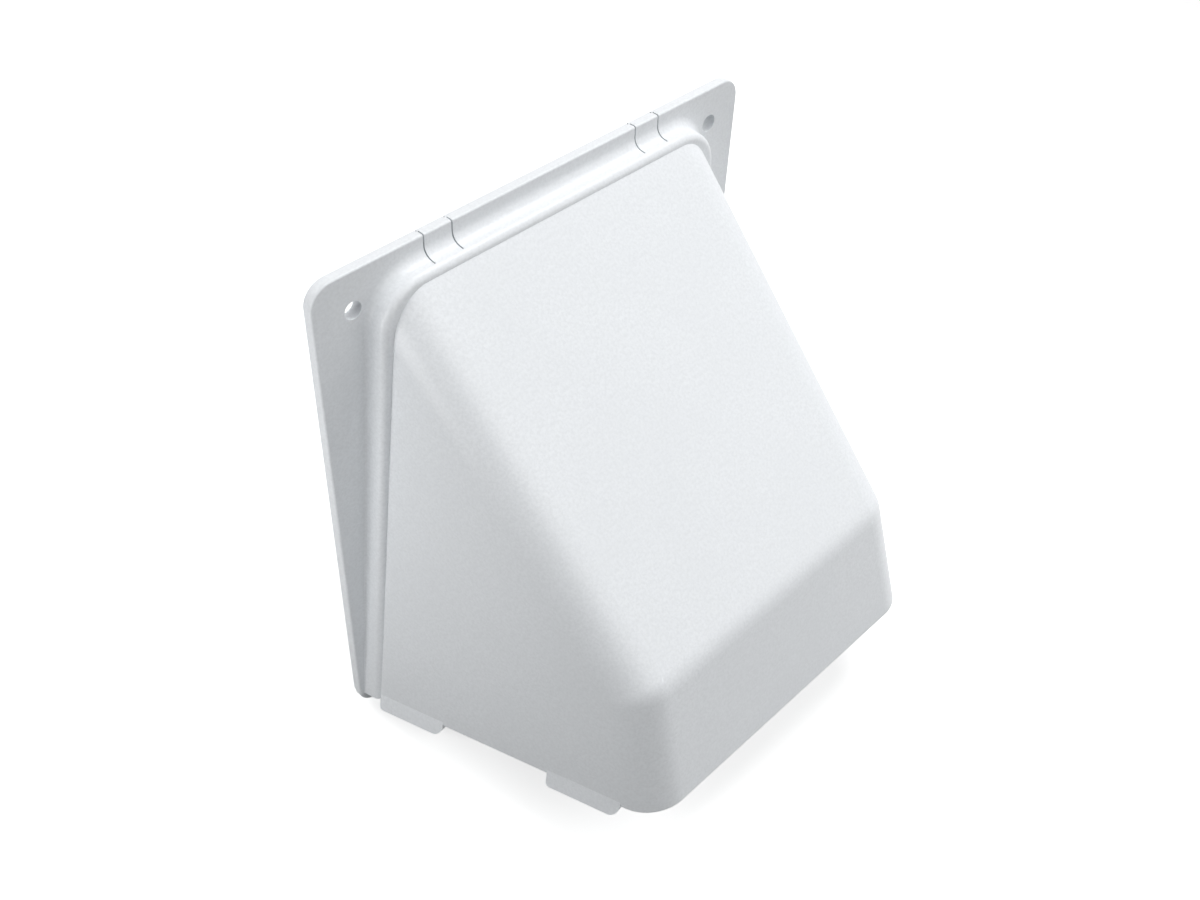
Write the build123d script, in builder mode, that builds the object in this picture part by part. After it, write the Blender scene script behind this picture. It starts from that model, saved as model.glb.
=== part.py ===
from build123d import *
from math import cos, hypot, pi, radians, sin, tan
import os

# Hooded wall vent for a round duct. Millimetres and degrees, +Z up. The origin is on the duct's axis in the
# wall plane, +Y runs into the wall and the cowl stands out towards -Y. A depth is a distance from the wall.

# Wall flange, in two layers that meet at the parting line
flange_width = 161.0
flange_height = 163.0
flange_corner = 7.0
flange_front = 2.4
flange_rear = 1.2
parting_step = 0.4
flange_edge = 0.6
screw_hole_diameter = 5.4
screw_hole_spacing = 136.0
screw_hole_margin = 11.7

# Raised platform, which widens downwards
platform_depth = 10.0
platform_top_margin = 6.9
platform_top_width = 125.4
platform_foot_margin = 1.6
platform_corner = 15.0
platform_draft = 5.0
platform_edge = 2.0
cove_top = 3.2
cove_side = 0.9
cove_foot = 0.4

# Cowl: slope, lip and two side walls that flare downwards and taper forwards
ledge_side = 3.3
ledge_top = 2.2
slope_angle = 45.0
mouth_margin = 4.9
lip_length = 39.8
lip_lean = 17.1
mouth_rise = 12.0
side_flare = 6.8
side_taper = 8.7
cowl_edge = 13.0
mouth_edge = 0.6
wall = 2.4

# Side tabs, the clips of the guard
tab_depths = (22.4, 85.2)
tab_length = 25.6
tab_drop = 3.2
tab_root = 1.8
tab_flare = 1.6
tab_thickness = 1.9
tab_nose = 0.9
tab_nose_land = 0.6
tab_back_corner = 1.4
tab_front_corner = 4.0

# Latch tongues in the top of the platform, cut free by slits
latch_spacing = 79.0
latch_width = 9.6
latch_slit = 0.45
latch_end_margin = 2.2
latch_barb = 1.2
latch_land = 0.5

# Duct plate and spigot
duct_plate_thickness = 2.4
duct_plate_gap = 0.3
rail_gap = 0.4
rail_overlap = 2.4
rail_height = 5.6
spigot_diameter = 98.0
spigot_wall = 2.0
spigot_reach = 35.0
spigot_chamfer = 0.8
seat_width = 3.0
seat_height = 5.0
inner_ledge = 2.6

# Flap and its hinge
flap_radius = 49.6
flap_shoulder = 73.0
flap_thickness = 1.8
flap_gap = 0.3
flap_rim_width = 1.4
flap_rim_height = 2.2
flap_rib_width = 1.2
flap_rib_height = 1.4
flap_rib_pitch = 26.0
flap_ribs = 3
hinge_height = 54.5
hinge_setback = 1.2
barrel_radius = 2.6
stub_radius = 1.5
stub_gap = 0.2
stub_length = 5.0
ear_thickness = 3.4
ear_gap = 0.5
ear_wall = 2.2
ear_throat = 2.6

# Guard in the mouth
guard_thickness = 2.6
guard_gap = 0.3
guard_frame = 4.0
guard_bar = 1.8
guard_pitch = 11.0
guard_cross_bars = 2

# Sizes that follow
flange_thickness = flange_front + flange_rear
flange_top = flange_height / 2
platform_top = flange_top - platform_top_margin
slope_top = platform_top - ledge_top
recess_depth = flange_thickness + rail_gap + duct_plate_thickness
rail_top = -flange_top + rail_height
spigot_radius = spigot_diameter / 2
bore_radius = spigot_radius - spigot_wall
flare = tan(radians(side_flare))
taper = tan(radians(side_taper))
rise = tan(radians(mouth_rise))
draft_run = (platform_depth - flange_thickness) * tan(radians(platform_draft))
cut_margin = 1.0

# The cowl's side profile, as depth and height
slope_way = Vector(cos(radians(slope_angle)), -sin(radians(slope_angle)))
slope_normal = Vector(sin(radians(slope_angle)), cos(radians(slope_angle)))
lip_way = Vector(sin(radians(lip_lean)), -cos(radians(lip_lean)))
lip_normal = Vector(cos(radians(lip_lean)), sin(radians(lip_lean)))
lip_run = lip_way * lip_length
slope_rise = tan(radians(slope_angle))
slope_base = slope_top + platform_depth * slope_rise
crease_depth = (slope_base + lip_run.Y - lip_run.X * rise + flange_top - mouth_margin) / (slope_rise + rise)
crease = Vector(crease_depth, slope_base - crease_depth * slope_rise)
lip_end = crease + lip_run


def mouth_height(depth):
    return lip_end.Y - (lip_end.X - depth) * rise


def cowl_half(depth, height):
    root_half = platform_top_width / 2 - ledge_side
    return root_half + flare * (platform_top - height) - taper * (depth - platform_depth)


def side_plane(side, inset):
    origin = (side * cowl_half(platform_depth, platform_top), -platform_depth, platform_top)
    return Plane(origin=origin, x_dir=(0, 1, 0), z_dir=(side, -taper, flare)).offset(-inset)


# The mouth plane's local Y runs forward along the mouth and its normal points out of it
mouth_plane = Plane(
    origin=(0, -recess_depth, mouth_height(recess_depth)),
    x_dir=(1, 0, 0),
    z_dir=(0, -sin(radians(mouth_rise)), -cos(radians(mouth_rise))),
)


def cowl_form(inset, back_depth, drop):
    # The cowl's solid form moved in by inset, from back_depth forward, with its mouth lowered by drop
    corner = crease - (slope_normal + lip_normal) * (inset / (1 + slope_normal.dot(lip_normal)))
    top = corner - slope_way * ((corner.X - back_depth) / slope_way.X)
    front = corner + lip_way * (lip_length + drop)
    heel = mouth_height(back_depth) - drop
    with BuildPart() as form:
        with BuildSketch(Plane.YZ):
            with BuildLine():
                Polyline(
                    (-back_depth, heel),
                    (-top.X, top.Y),
                    (-corner.X, corner.Y),
                    (-front.X, front.Y),
                    close=True,
                )
            make_face()
        extrude(amount=flange_width, both=True)
        for side in (-1, 1):
            split(bisect_by=side_plane(side, inset), keep=Keep.BOTTOM)
        back_face = form.faces().sort_by(Axis.Y)[-1]
        mouth_face = form.faces().sort_by(Axis.Z)[0]
        fillet(form.edges() - back_face.edges() - mouth_face.edges(), radius=cowl_edge - inset)
    return form.part


def platform_outline(inset, bottom):
    # Outline of the platform's foot moved in by inset, from its top down to bottom
    top = platform_top + draft_run
    top_half = platform_top_width / 2 + draft_run
    foot_half = flange_width / 2 - platform_foot_margin
    widening = (foot_half - top_half) / (top - mouth_height(flange_thickness))
    lean = hypot(1, widening)
    with BuildSketch(Plane.XZ) as outline:
        with BuildLine():
            upper = top - inset
            upper_half = top_half + widening * inset - inset * lean
            lower_half = upper_half + widening * (upper - bottom)
            Polyline(
                (-lower_half, bottom),
                (-upper_half, upper),
                (upper_half, upper),
                (lower_half, bottom),
                close=True,
            )
        make_face()
        fillet(outline.vertices().group_by(Axis.Y)[-1], radius=platform_corner - inset)
    return outline.sketch


def cove_section(point, outward, radius):
    # The hollow corner between the flange and the platform's wall, drawn across the wall at a point of its foot
    draft = radians(platform_draft)
    reach = radius * tan((pi / 2 - draft) / 2)
    wall_way = Vector(-sin(draft), cos(draft))
    plane = Plane(
        origin=point - Vector(0, flange_thickness, 0), x_dir=outward, z_dir=(outward.Z, 0, -outward.X)
    )
    with BuildSketch(plane) as section:
        with BuildLine():
            arc = TangentArc((reach, 0), wall_way * reach, tangent=(-1, 0))
            Polyline(arc @ 1, (-cut_margin, reach), (-cut_margin, -cut_margin), (reach, -cut_margin), arc @ 0)
        make_face()
    return section.sketch


def side_tab(depth):
    # A clip on the right-hand mouth edge, centred at depth: a flared lip outside and a nose inside
    height = mouth_height(depth)
    section = Plane(
        origin=(cowl_half(depth, height), -depth, height),
        x_dir=(1, -taper, flare),
        z_dir=(-taper - flare * rise, -1, rise),
    )
    across = Axis(section.origin, section.x_dir)
    up = Axis(section.origin, section.y_dir)
    with BuildPart() as tab:
        with BuildSketch(section):
            with BuildLine():
                Polyline(
                    (0, tab_root),
                    (tab_flare, -tab_drop),
                    (tab_flare - tab_thickness, -tab_drop),
                    (-wall - tab_nose, -tab_drop / 2),
                    (-wall - tab_nose, -tab_drop / 2 + tab_nose_land),
                    (-wall, 0),
                    (-wall, tab_root),
                    close=True,
                )
            make_face()
        extrude(amount=tab_length / 2, both=True)
        for end, radius in ((0, tab_front_corner), (-1, tab_back_corner)):
            low_face = tab.faces().sort_by(up)[0]
            fillet(low_face.edges().filter_by(across).sort_by(Axis.Y)[end], radius=radius)
    return tab.part


# Outside of the cowl, with its mouth's edge softened
with BuildPart() as cowl:
    add(cowl_form(0, platform_depth - ledge_top / 2, 0))
    mouth_edges = cowl.faces().sort_by(Axis.Z)[0].edges() - cowl.faces().sort_by(Axis.Y)[-1].edges()
    fillet(mouth_edges, radius=mouth_edge)

# Space inside the cowl, closed above by a ledge that the duct plate seats on
recess_top = platform_top + draft_run - wall
with BuildPart() as cavity:
    add(cowl_form(wall, recess_depth - cut_margin, tab_drop + cut_margin))
    split(bisect_by=Plane.XY.offset(recess_top - inner_ledge), keep=Keep.BOTTOM)

# Cove round the platform's foot, wide along the top and narrowing round the corners and down the sides
foot_outline = platform_outline(0, mouth_height(0))
foot_corner = foot_outline.edges().filter_by(GeomType.CIRCLE).sort_by(Axis.X)[-1]
corner_low, corner_high = (vertex.center() for vertex in foot_corner.vertices().sort_by(Axis.Z))
foot_low = foot_outline.vertices().group_by(Axis.Z)[0].sort_by(Axis.X)[-1].center()
side_out = (corner_low - foot_corner.arc_center).normalized()
with BuildPart() as cove:
    add(cove_section(Vector(0, 0, corner_high.Z), Vector(0, 0, 1), cove_top))
    extrude(amount=corner_high.X, dir=(1, 0, 0), both=True)
    corner_sections = (
        cove_section(corner_high, Vector(0, 0, 1), cove_top),
        cove_section(corner_low, side_out, cove_side),
    )
    sweep(corner_sections, path=foot_corner, multisection=True)
    add(cove_section(corner_low, side_out, cove_side))
    add(cove_section(foot_low, side_out, cove_foot))
    loft(ruled=True)
    mirror(about=Plane.YZ)

# Platform with its cove and the cowl, cut off at the mouth
with BuildPart() as shell:
    with BuildSketch(Plane.XZ.offset(flange_thickness)):
        add(platform_outline(0, mouth_height(0)))
    extrude(amount=platform_depth - flange_thickness, taper=platform_draft)
    ledge_edges = shell.faces().sort_by(Axis.Y)[0].edges().sort_by(Axis.Z)[1:]
    fillet(ledge_edges, radius=platform_edge)
    add(cove.part)
    add(cowl.part)
    split(bisect_by=mouth_plane, keep=Keep.BOTTOM)

# Hood: flange, platform and cowl in one moulding, open behind and below
plate_back = recess_depth - duct_plate_thickness
with BuildPart() as hood:
    with BuildSketch(Plane.XZ.offset(flange_rear)):
        RectangleRounded(flange_width, flange_height, flange_corner)
    extrude(amount=flange_front)
    fillet(hood.faces().sort_by(Axis.Y)[0].edges(), radius=flange_edge)
    with BuildSketch(Plane.XZ):
        RectangleRounded(
            flange_width - 2 * parting_step, flange_height - 2 * parting_step, flange_corner - parting_step
        )
    extrude(amount=flange_rear)
    add(shell.part)

    with BuildSketch(Plane.XZ):
        add(platform_outline(wall, rail_top))
    extrude(amount=recess_depth, mode=Mode.SUBTRACT)
    add(cavity.part, mode=Mode.SUBTRACT)
    with BuildSketch(Plane.XZ):
        with Locations((0, flange_top - screw_hole_margin)):
            with GridLocations(screw_hole_spacing, 1, 2, 1):
                Circle(screw_hole_diameter / 2)
    extrude(amount=platform_depth, mode=Mode.SUBTRACT)

    # Latch tongues: a barb behind the duct plate, and a slit on each side
    for side in (-1, 1):
        with BuildSketch(Plane.YZ.offset(side * latch_spacing / 2)):
            with BuildLine():
                Polyline(
                    (0, recess_top),
                    (duct_plate_gap + latch_land - plate_back, recess_top - latch_barb),
                    (duct_plate_gap - plate_back, recess_top - latch_barb),
                    (duct_plate_gap - plate_back, recess_top),
                    close=True,
                )
            make_face()
        extrude(amount=(latch_width - latch_slit) / 2, both=True)
    slit_height = flange_top - recess_top
    with BuildSketch(Plane.XZ):
        with Locations((0, recess_top + slit_height / 2)):
            with GridLocations(latch_spacing, 1, 2, 1):
                with GridLocations(latch_width, 1, 2, 1):
                    Rectangle(latch_slit, slit_height)
    extrude(amount=platform_depth - latch_end_margin, mode=Mode.SUBTRACT)

    for tab_depth in tab_depths:
        tab = side_tab(tab_depth)
        add(tab)
        add(mirror(tab, about=Plane.YZ, mode=Mode.PRIVATE))

# Duct plate: closes the platform from behind and carries the spigot, the flap's seat and its hinge ears
flap_back = recess_depth + seat_height + flap_gap
flap_front = flap_back + flap_thickness
hinge_depth = flap_back - hinge_setback
hinge_point = (-hinge_depth, hinge_height)
ear_radius = stub_radius + stub_gap + ear_wall
with BuildPart() as duct_plate:
    with BuildSketch(Plane.XZ.offset(plate_back)):
        add(platform_outline(wall + duct_plate_gap, rail_top - rail_overlap))
    extrude(amount=duct_plate_thickness)
    with BuildSketch(Plane.XZ.offset(recess_depth)):
        Circle(bore_radius + seat_width)
    extrude(amount=seat_height)
    with BuildSketch(Plane.XZ.offset(plate_back)):
        Circle(spigot_radius)
    extrude(amount=-plate_back - spigot_reach)
    spigot_end = duct_plate.faces().sort_by(Axis.Y)[-1].edges()
    chamfer(spigot_end, length=spigot_chamfer)
    with BuildSketch(Plane.XZ.offset(recess_depth + seat_height)):
        Circle(bore_radius)
    extrude(amount=-recess_depth - seat_height - spigot_reach, mode=Mode.SUBTRACT)

    for side in (-1, 1):
        ear_middle = side * (flap_shoulder / 2 + ear_gap + ear_thickness / 2)
        with BuildSketch(Plane.YZ.offset(ear_middle)):
            with Locations(hinge_point):
                Circle(ear_radius)
                Rectangle(hinge_depth - recess_depth, 2 * ear_radius, align=(Align.MIN, Align.CENTER))
                Circle(stub_radius + stub_gap, mode=Mode.SUBTRACT)
                Rectangle(ear_radius, ear_throat, align=(Align.MAX, Align.CENTER), mode=Mode.SUBTRACT)
        extrude(amount=ear_thickness / 2, both=True)

# Flap: a rimmed disc with a squared top, a hinge barrel and a stub at each end
with BuildPart() as damper_flap:
    with BuildSketch(Plane.XZ.offset(flap_back)) as flap_face:
        Circle(flap_radius)
        Rectangle(flap_shoulder, hinge_height, align=(Align.CENTER, Align.MIN))
    extrude(amount=flap_thickness)
    with BuildSketch(Plane.XZ.offset(flap_front)):
        add(flap_face.sketch_local)
        offset(amount=-flap_rim_width, mode=Mode.SUBTRACT)
    extrude(amount=flap_rim_height)
    with BuildSketch(Plane.XZ.offset(flap_front)):
        with GridLocations(flap_rib_pitch, 1, flap_ribs, 1):
            Rectangle(flap_rib_width, 2 * hinge_height)
        add(flap_face.sketch_local, mode=Mode.INTERSECT)
    extrude(amount=flap_rib_height)
    with BuildSketch(Plane.YZ):
        with Locations(hinge_point):
            Circle(barrel_radius)
    extrude(amount=flap_shoulder / 2, both=True)
    with BuildSketch(Plane.YZ):
        with Locations(hinge_point):
            Circle(stub_radius)
    extrude(amount=flap_shoulder / 2 + stub_length, both=True)

# Guard: a flat grille between the side walls, just inside the mouth
guard_top = guard_gap + guard_thickness
mouth_cos = cos(radians(mouth_rise))
mouth_sin = sin(radians(mouth_rise))
lip_slant = radians(lip_lean - mouth_rise)
guard_back = (guard_gap + guard_top * mouth_sin) / mouth_cos
guard_front = (
    (lip_end.X - recess_depth) / mouth_cos - wall / cos(lip_slant) - guard_top * tan(lip_slant) - guard_gap
)


def guard_half(forward):
    # Half of the clear width at the guard's top face, forward along the mouth
    depth = recess_depth + forward * mouth_cos - guard_top * mouth_sin
    height = mouth_plane.origin.Z + forward * mouth_sin + guard_top * mouth_cos
    return cowl_half(depth, height) - wall * hypot(1, taper, flare) - guard_gap


with BuildPart() as bird_guard:
    with BuildSketch(mouth_plane.offset(-guard_gap)) as guard_outline:
        with BuildLine():
            Polyline(
                (-guard_half(guard_back), guard_back),
                (-guard_half(guard_front), guard_front),
                (guard_half(guard_front), guard_front),
                (guard_half(guard_back), guard_back),
                close=True,
            )
        make_face()
        fillet(guard_outline.vertices().group_by(Axis.Y)[-1], radius=cowl_edge - wall)
    extrude(amount=-guard_thickness)
    guard_length = guard_front - guard_back
    bar_count = 2 * int(guard_half(guard_back) / guard_pitch) + 1
    with BuildSketch(mouth_plane.offset(-guard_gap)):
        add(guard_outline.sketch_local)
        offset(amount=-guard_frame, mode=Mode.REPLACE)
        with Locations((0, guard_back + guard_length / 2)):
            with GridLocations(guard_pitch, 1, bar_count, 1):
                Rectangle(guard_bar, guard_length, mode=Mode.SUBTRACT)
            with GridLocations(1, guard_length / (guard_cross_bars + 1), 1, guard_cross_bars):
                Rectangle(2 * guard_half(guard_back), guard_bar, mode=Mode.SUBTRACT)
    extrude(amount=-guard_thickness, mode=Mode.SUBTRACT)

os.makedirs("parts", exist_ok=True)
for name, piece in (
    ("hood", hood),
    ("duct_plate", duct_plate),
    ("damper_flap", damper_flap),
    ("bird_guard", bird_guard),
):
    piece.part.label = name
    export_step(piece.part, f"parts/{name}.step")
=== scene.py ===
import math

import bpy
from mathutils import Euler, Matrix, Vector


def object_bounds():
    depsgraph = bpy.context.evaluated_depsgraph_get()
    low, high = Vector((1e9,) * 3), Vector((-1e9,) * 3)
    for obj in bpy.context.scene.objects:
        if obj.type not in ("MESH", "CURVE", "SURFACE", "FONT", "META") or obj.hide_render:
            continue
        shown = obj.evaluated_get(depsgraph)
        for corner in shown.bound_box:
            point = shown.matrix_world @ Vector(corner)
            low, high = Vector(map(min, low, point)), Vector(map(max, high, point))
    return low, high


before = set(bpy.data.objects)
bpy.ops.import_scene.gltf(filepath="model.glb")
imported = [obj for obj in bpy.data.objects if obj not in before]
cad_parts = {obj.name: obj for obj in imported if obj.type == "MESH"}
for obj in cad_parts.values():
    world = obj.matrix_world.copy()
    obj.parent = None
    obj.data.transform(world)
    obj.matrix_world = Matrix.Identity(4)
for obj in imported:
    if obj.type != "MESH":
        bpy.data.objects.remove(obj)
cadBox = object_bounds()
print("frame loaded:", ", ".join(sorted(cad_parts)))

millimetre = 0.001


# sRGB hex to the linear colour that Blender's sockets take
def linearColour(hexText):
    channels = [int(hexText[i:i + 2], 16) / 255 for i in (1, 3, 5)]
    linear = [c / 12.92 if c <= 0.04045 else ((c + 0.055) / 1.055) ** 2.4 for c in channels]
    return (*linear, 1.0)


# Adds one node: settings go to its properties, values to its inputs, links come from other nodes' outputs
def addNode(tree, kind, settings=None, values=None, links=None):
    node = tree.nodes.new(kind)
    for name, value in (settings or {}).items():
        setattr(node, name, value)
    for name, value in (values or {}).items():
        node.inputs[name].default_value = value
    for name, (source, output) in (links or {}).items():
        tree.links.new(source.outputs[output], node.inputs[name])
    return node


# The Mix node has a socket of the same name for each kind of data: these are its factor's and its colours'
mixFactor, mixFirstColour, mixSecondColour, mixColourOut = 0, 6, 7, 2


def emptyMaterial(name):
    material = bpy.data.materials.new(name)
    material.use_nodes = True
    material.node_tree.nodes.clear()
    return material, material.node_tree


# ASA, the outdoor plastic, injection moulded in a spark-eroded tool: an even off-white with a satin skin,
# a fine grain of pits that speckles it and breaks up the highlight, and faint cloudiness where the melt
# flowed. The pits' darker tone is painted shade, standing in for the light their hollows trap
asaSettings = {
    "hood": {
        "colour": "#eef1f4", "shade": "#ebeef1", "pitShade": "#e5e8eb",
        "roughness": 0.42, "grainMm": 0.85, "grainDepthMm": 0.045,
    },
    "duct_plate": {
        "colour": "#eceff2", "shade": "#e8ebee", "pitShade": "#e1e4e7",
        "roughness": 0.46, "grainMm": 0.85, "grainDepthMm": 0.035,
    },
    "damper_flap": {
        "colour": "#ecf0f2", "shade": "#e9ecef", "pitShade": "#e3e6e9",
        "roughness": 0.38, "grainMm": 0.60, "grainDepthMm": 0.020,
    },
    "bird_guard": {
        "colour": "#eceff2", "shade": "#e8ebee", "pitShade": "#e1e4e7",
        "roughness": 0.42, "grainMm": 0.60, "grainDepthMm": 0.020,
    },
}
# What the four mouldings share. Each range is of noise levels
asaShared = {
    "ior": 1.52,
    "flowMm": 28.0,              # width of the cloudy flow marks
    "flowNoise": {"Detail": 2.0, "Roughness": 0.45, "Distortion": 0.6},
    "flowRange": (0.30, 0.70),   # from the shade to the full colour
    "grainNoise": {"Detail": 3.0, "Roughness": 0.6},
    "pitRange": (0.35, 0.65),    # from the floor of a pit to the open skin
    "skinRange": (0.3, 0.7),     # from the smoothest skin to the roughest
    "roughnessSpread": 0.05,     # how far the satin skin varies
    "reliefStrength": 0.8,
}


def noiseTexture(tree, place, widthMm, noise):
    return addNode(
        tree, "ShaderNodeTexNoise",
        values={"Scale": 1 / (widthMm * millimetre), **noise},
        links={"Vector": (place, "Object")},
    )


def rangeNode(tree, source, fromRange, toRange):
    return addNode(
        tree, "ShaderNodeMapRange",
        values={
            "From Min": fromRange[0], "From Max": fromRange[1],
            "To Min": toRange[0], "To Max": toRange[1],
        },
        links={"Value": source},
    )


def asaMaterial(name, look):
    material, tree = emptyMaterial(name)
    place = addNode(tree, "ShaderNodeTexCoord")
    flow = noiseTexture(tree, place, asaShared["flowMm"], asaShared["flowNoise"])
    tint = addNode(tree, "ShaderNodeValToRGB", links={"Fac": (flow, "Fac")})
    for stop, level, tone in zip(tint.color_ramp.elements, asaShared["flowRange"], ("shade", "colour")):
        stop.position = level
        stop.color = linearColour(look[tone])
    # The real grain is about a tenth of a millimetre: drawn coarser so that it shows at this size
    grain = noiseTexture(tree, place, look["grainMm"], asaShared["grainNoise"])
    # Painted shade: the grain's pits are tinted darker, as the shade in their hollows
    paintedPitShade = rangeNode(tree, (grain, "Fac"), asaShared["pitRange"], (1.0, 0.0))
    pitShadedTint = addNode(
        tree, "ShaderNodeMix", settings={"data_type": "RGBA"},
        values={mixSecondColour: linearColour(look["pitShade"])},
        links={mixFactor: (paintedPitShade, "Result"), mixFirstColour: (tint, "Color")},
    )
    smoothest = look["roughness"] - asaShared["roughnessSpread"]
    roughest = look["roughness"] + asaShared["roughnessSpread"]
    skin = rangeNode(tree, (grain, "Fac"), asaShared["skinRange"], (smoothest, roughest))
    relief = addNode(
        tree, "ShaderNodeBump",
        values={"Strength": asaShared["reliefStrength"], "Distance": look["grainDepthMm"] * millimetre},
        links={"Height": (grain, "Fac")},
    )
    shader = addNode(
        tree, "ShaderNodeBsdfPrincipled",
        values={"IOR": asaShared["ior"], "Metallic": 0.0},
        links={
            "Base Color": (pitShadedTint, mixColourOut),
            "Roughness": (skin, "Result"),
            "Normal": (relief, "Normal"),
        },
    )
    addNode(tree, "ShaderNodeOutputMaterial", links={"Surface": (shader, "BSDF")})
    return material


def dressNode(nodeName, material):
    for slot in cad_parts[nodeName].material_slots:
        slot.material = material


for nodeName, look in asaSettings.items():
    dressNode(nodeName, asaMaterial("mouldedAsa_" + nodeName, look))
print("moulded ASA on", len(asaSettings), "pieces")

# Floor under the flange's bottom edge: pale matt paper that keeps the shadow. The camera, glosses and clear
# pieces see it white, and it throws back only the light of a grey one, so the undersides stay in shade
floorSettings = {"size": 1.2, "height": cadBox[0][2], "seen": "#f4f5f5", "bounce": "#5c5e5e", "lift": 0.58}


# 1 where the camera, a gloss or a clear piece looks, 0 for the light that spreads
def lookingRays(tree):
    rays = addNode(tree, "ShaderNodeLightPath")
    cameraOrGloss = addNode(
        tree, "ShaderNodeMath", settings={"operation": "MAXIMUM"},
        links={0: (rays, "Is Camera Ray"), 1: (rays, "Is Glossy Ray")},
    )
    return addNode(
        tree, "ShaderNodeMath", settings={"operation": "MAXIMUM"},
        links={0: (cameraOrGloss, "Value"), 1: (rays, "Is Transmission Ray")},
    )


def makeFloor():
    bpy.ops.mesh.primitive_plane_add(size=floorSettings["size"], location=(0, 0, floorSettings["height"]))
    floor = bpy.context.object
    floor.name = "studioFloor"
    material, tree = emptyMaterial("paleStudioPaper")
    seen = lookingRays(tree)
    bounce = addNode(tree, "ShaderNodeBsdfDiffuse", values={"Color": linearColour(floorSettings["bounce"])})
    paper = addNode(tree, "ShaderNodeBsdfDiffuse", values={"Color": linearColour(floorSettings["seen"])})
    lift = addNode(tree, "ShaderNodeEmission", values={"Strength": floorSettings["lift"]})
    whitePaper = addNode(tree, "ShaderNodeAddShader", links={0: (paper, "BSDF"), 1: (lift, "Emission")})
    both = addNode(
        tree, "ShaderNodeMixShader",
        links={0: (seen, "Value"), 1: (bounce, "BSDF"), 2: (whitePaper, "Shader")},
    )
    addNode(tree, "ShaderNodeOutputMaterial", links={"Surface": (both, "Shader")})
    floor.data.materials.append(material)


makeFloor()
print("floor laid")

# A lamp close on the left makes the side darken away from it, and broad ones overhead, in front and on the
# right leave the corner between them in shade. One more lights the back, which the camera doesn't see
lampSettings = {
    "leftSoftbox": {"place": (-0.30, 0.02, 0.08), "aim": (0, -0.04, 0), "size": 0.15, "watts": 0.37},
    "overheadSoftbox": {"place": (0.41, 0.00, 1.02), "aim": (0, -0.04, 0), "size": 0.8, "watts": 9.0},
    "frontSoftbox": {"place": (0.00, -0.82, 0.74), "aim": (0, -0.04, 0), "size": 0.8, "watts": 4.1},
    "rightSoftbox": {"place": (0.76, -0.76, 0.23), "aim": (0, -0.04, 0), "size": 0.8, "watts": 2.5},
    "backSoftbox": {"place": (0.20, 1.05, 0.20), "aim": (0, 0, 0), "size": 0.8, "watts": 6.0},
}


def makeLamp(name, lamp):
    data = bpy.data.lights.new(name, "AREA")
    data.shape = "DISK"
    data.size = lamp["size"]
    data.energy = lamp["watts"]
    piece = bpy.data.objects.new(name, data)
    piece.visible_camera = False   # the near lamp can stand inside a picture
    piece.location = lamp["place"]
    way = Vector(lamp["aim"]) - Vector(lamp["place"])
    piece.rotation_euler = way.to_track_quat("-Z", "Y").to_euler()
    bpy.context.collection.objects.link(piece)


for lampName, lamp in lampSettings.items():
    makeLamp(lampName, lamp)

# The world lights softly, and shows as white where the camera, a gloss or a clear piece looks at it
skySettings = {"colour": "#ffffff", "light": 0.05, "backdrop": 1.0}


def makeSky():
    world = bpy.data.worlds.new("studioSky")
    bpy.context.scene.world = world
    world.use_nodes = True
    tree = world.node_tree
    tree.nodes.clear()
    seen = lookingRays(tree)
    level = rangeNode(tree, (seen, "Value"), (0.0, 1.0), (skySettings["light"], skySettings["backdrop"]))
    sky = addNode(
        tree, "ShaderNodeBackground",
        values={"Color": linearColour(skySettings["colour"])},
        links={"Strength": (level, "Result")},
    )
    addNode(tree, "ShaderNodeOutputWorld", links={"Surface": (sky, "Background")})


makeSky()
print("lamps and sky set")

# Camera at the photograph's angle: from the left, above and in front, with a slight roll
cameraSettings = {
    "place": (-0.2314, -0.2368, 0.2848),
    "turnDegrees": (47.02, -2.07, -45.94),
    "lensMm": 41.98,
    "sensorMm": 36.0,
    "clipStart": 0.005,
}


def makeCamera():
    data = bpy.data.cameras.new("photoCamera")
    data.lens = cameraSettings["lensMm"]
    data.sensor_width = cameraSettings["sensorMm"]
    data.sensor_fit = "HORIZONTAL"
    data.clip_start = cameraSettings["clipStart"]
    camera = bpy.data.objects.new("photoCamera", data)
    camera.location = cameraSettings["place"]
    camera.rotation_euler = Euler([math.radians(a) for a in cameraSettings["turnDegrees"]], "XYZ")
    bpy.context.collection.objects.link(camera)
    bpy.context.scene.camera = camera


makeCamera()
bpy.context.scene.view_settings.view_transform = "Standard"
print("camera set")
